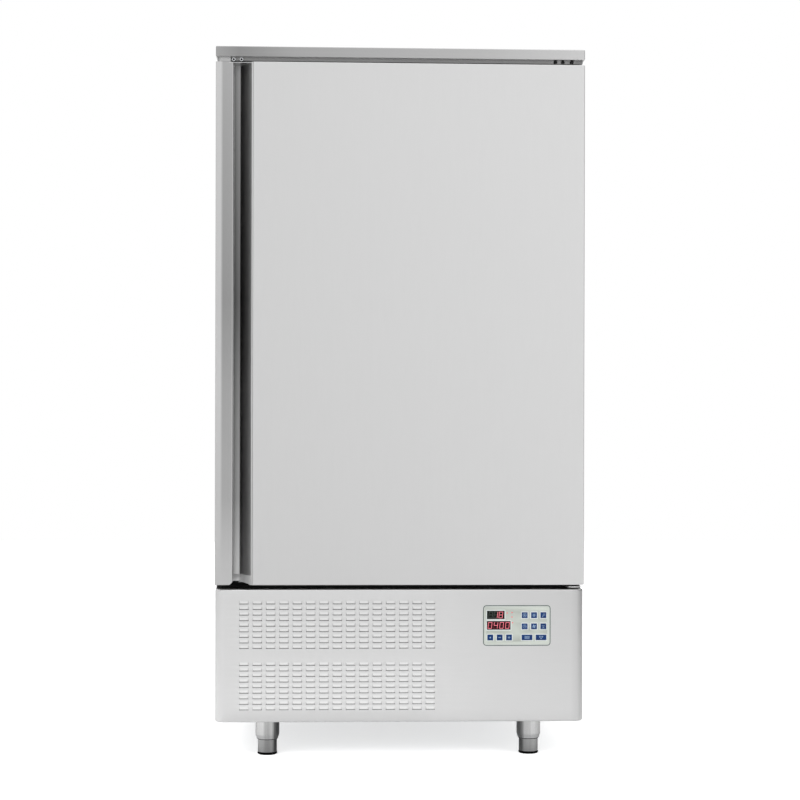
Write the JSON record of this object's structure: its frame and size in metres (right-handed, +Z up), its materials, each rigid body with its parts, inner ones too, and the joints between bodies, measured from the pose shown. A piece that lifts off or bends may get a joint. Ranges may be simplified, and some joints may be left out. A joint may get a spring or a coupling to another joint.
{
  "type": "blast chiller",
  "caption": "Upright insulated steel cabinet with a full-height door, tray runners, evaporator fans and a louvred machine compartment under it.",
  "frame": {"origin": "on the floor, under the middle of the cabinet's outer box", "axes": "+X to the right seen from the front, +Y from the door towards the back, +Z up"},
  "size_m": [0.8, 0.815, 1.54],
  "materials": {
    "stainless_outer": "satin",
    "stainless_inner": "satin",
    "galvanised_sheet": "matte",
    "black_chassis": "satin",
    "rigid_foam": "matte",
    "black_moulding": "satin",
    "gasket_rubber": "matte",
    "bezel_moulding": "satin",
    "overlay_film": "satin",
    "display_lens": "gloss",
    "key_moulding": "satin",
    "circuit_board": "satin",
    "coil_aluminium": "satin",
    "copper_tube": "satin",
    "compressor_enamel": "gloss",
    "motor_enamel": "satin",
    "fan_moulding": "satin",
    "bright_wire": "gloss",
    "screw_steel": "satin",
    "foot_steel": "satin"
  },
  "bodies": {
    "cabinet": {"side_panel_left": "stainless_outer", "side_panel_right": "stainless_outer", "rear_panel": "galvanised_sheet", "rear_grille": "galvanised_sheet", "top_cap": "stainless_outer", "front_frame": "stainless_inner", "inner_liner": "stainless_inner", "cabinet_foam": "rigid_foam", "deck_plate": "galvanised_sheet", "base_pan": "galvanised_sheet", "corner_posts": "black_chassis", "front_panel": "stainless_outer", "control_bezel": "bezel_moulding", "control_overlay": "overlay_film", "display_windows": "display_lens", "control_board": "circuit_board", "leg_sleeves": "foot_steel", "hinge_brackets": "stainless_inner", "panel_screws": "screw_steel", "tray_racks": "stainless_inner", "fan_panel": "stainless_inner", "evap_fan_motors": "motor_enamel", "fan_guards": "bright_wire", "evaporator_coil": "coil_aluminium", "drip_tray": "stainless_inner", "compressor": "compressor_enamel", "compressor_mounts": "gasket_rubber", "condenser_coil": "coil_aluminium", "condenser_shroud": "black_chassis", "condenser_fan_motor": "motor_enamel", "liquid_receiver": "compressor_enamel", "refrigerant_pipes": "copper_tube", "electrical_box": "black_chassis", "cable_gland": "black_moulding", "evaporating_tray": "black_moulding"},
    "door": {"door_skin": "stainless_outer", "door_liner": "stainless_inner", "door_foam": "rigid_foam", "handle_profile": "stainless_outer", "handle_plugs": "black_moulding", "door_gasket": "gasket_rubber", "door_bushes": "black_moulding"},
    "upper_evaporator_fan": {"evap_fan_upper": "fan_moulding"},
    "lower_evaporator_fan": {"evap_fan_lower": "fan_moulding"},
    "condenser_fan_rotor": {"condenser_fan": "fan_moulding"},
    "foot_front_left_body": {"foot_front_left": "foot_steel"},
    "foot_front_right_body": {"foot_front_right": "foot_steel"},
    "foot_rear_left_body": {"foot_rear_left": "foot_steel"},
    "foot_rear_right_body": {"foot_rear_right": "foot_steel"},
    "key_set_cap": {"key_set": "key_moulding"},
    "key_minus_cap": {"key_minus": "key_moulding"},
    "key_plus_cap": {"key_plus": "key_moulding"},
    "key_chill_cap": {"key_chill": "key_moulding"},
    "key_freeze_cap": {"key_freeze": "key_moulding"},
    "key_probe_cap": {"key_probe": "key_moulding"},
    "key_timer_cap": {"key_timer": "key_moulding"},
    "key_fan_cap": {"key_fan": "key_moulding"},
    "key_defrost_cap": {"key_defrost": "key_moulding"},
    "key_cycle_cap": {"key_cycle": "key_moulding"},
    "key_start_cap": {"key_start": "key_moulding"}
  },
  "joints": [
    {"name": "door_hinge", "type": "hinge", "parent": "cabinet", "child": "door", "pos_m": [0.38, -0.3775, 0.377], "axis": [0, 0, 1], "range_deg": [0, 110]},
    {"name": "upper_evaporator_fan_spin", "type": "hinge", "parent": "cabinet", "child": "upper_evaporator_fan", "pos_m": [0, 0.1145, 1.19225], "axis": [0, 1, 0], "continuous": true},
    {"name": "lower_evaporator_fan_spin", "type": "hinge", "parent": "cabinet", "child": "lower_evaporator_fan", "pos_m": [0, 0.1145, 0.70225], "axis": [0, 1, 0], "continuous": true},
    {"name": "condenser_fan_spin", "type": "hinge", "parent": "cabinet", "child": "condenser_fan_rotor", "pos_m": [-0.145, -0.2155, 0.22785], "axis": [0, 1, 0], "continuous": true},
    {"name": "foot_front_left_screw", "type": "slide", "parent": "cabinet", "child": "foot_front_left_body", "axis": [0, 0, -1], "range_m": [-0.012, 0.022]},
    {"name": "foot_front_right_screw", "type": "slide", "parent": "cabinet", "child": "foot_front_right_body", "axis": [0, 0, -1], "range_m": [-0.012, 0.022]},
    {"name": "foot_rear_left_screw", "type": "slide", "parent": "cabinet", "child": "foot_rear_left_body", "axis": [0, 0, -1], "range_m": [-0.012, 0.022]},
    {"name": "foot_rear_right_screw", "type": "slide", "parent": "cabinet", "child": "foot_rear_right_body", "axis": [0, 0, -1], "range_m": [-0.012, 0.022]},
    {"name": "key_set_press", "type": "slide", "parent": "cabinet", "child": "key_set_cap", "axis": [0, 1, 0], "range_m": [0, 0.0008], "stiffness_N_per_m": 1500},
    {"name": "key_minus_press", "type": "slide", "parent": "cabinet", "child": "key_minus_cap", "axis": [0, 1, 0], "range_m": [0, 0.0008], "stiffness_N_per_m": 1500},
    {"name": "key_plus_press", "type": "slide", "parent": "cabinet", "child": "key_plus_cap", "axis": [0, 1, 0], "range_m": [0, 0.0008], "stiffness_N_per_m": 1500},
    {"name": "key_chill_press", "type": "slide", "parent": "cabinet", "child": "key_chill_cap", "axis": [0, 1, 0], "range_m": [0, 0.0008], "stiffness_N_per_m": 1500},
    {"name": "key_freeze_press", "type": "slide", "parent": "cabinet", "child": "key_freeze_cap", "axis": [0, 1, 0], "range_m": [0, 0.0008], "stiffness_N_per_m": 1500},
    {"name": "key_probe_press", "type": "slide", "parent": "cabinet", "child": "key_probe_cap", "axis": [0, 1, 0], "range_m": [0, 0.0008], "stiffness_N_per_m": 1500},
    {"name": "key_timer_press", "type": "slide", "parent": "cabinet", "child": "key_timer_cap", "axis": [0, 1, 0], "range_m": [0, 0.0008], "stiffness_N_per_m": 1500},
    {"name": "key_fan_press", "type": "slide", "parent": "cabinet", "child": "key_fan_cap", "axis": [0, 1, 0], "range_m": [0, 0.0008], "stiffness_N_per_m": 1500},
    {"name": "key_defrost_press", "type": "slide", "parent": "cabinet", "child": "key_defrost_cap", "axis": [0, 1, 0], "range_m": [0, 0.0008], "stiffness_N_per_m": 1500},
    {"name": "key_cycle_press", "type": "slide", "parent": "cabinet", "child": "key_cycle_cap", "axis": [0, 1, 0], "range_m": [0, 0.0008], "stiffness_N_per_m": 1500},
    {"name": "key_start_press", "type": "slide", "parent": "cabinet", "child": "key_start_cap", "axis": [0, 1, 0], "range_m": [0, 0.0008], "stiffness_N_per_m": 1500}
  ]
}
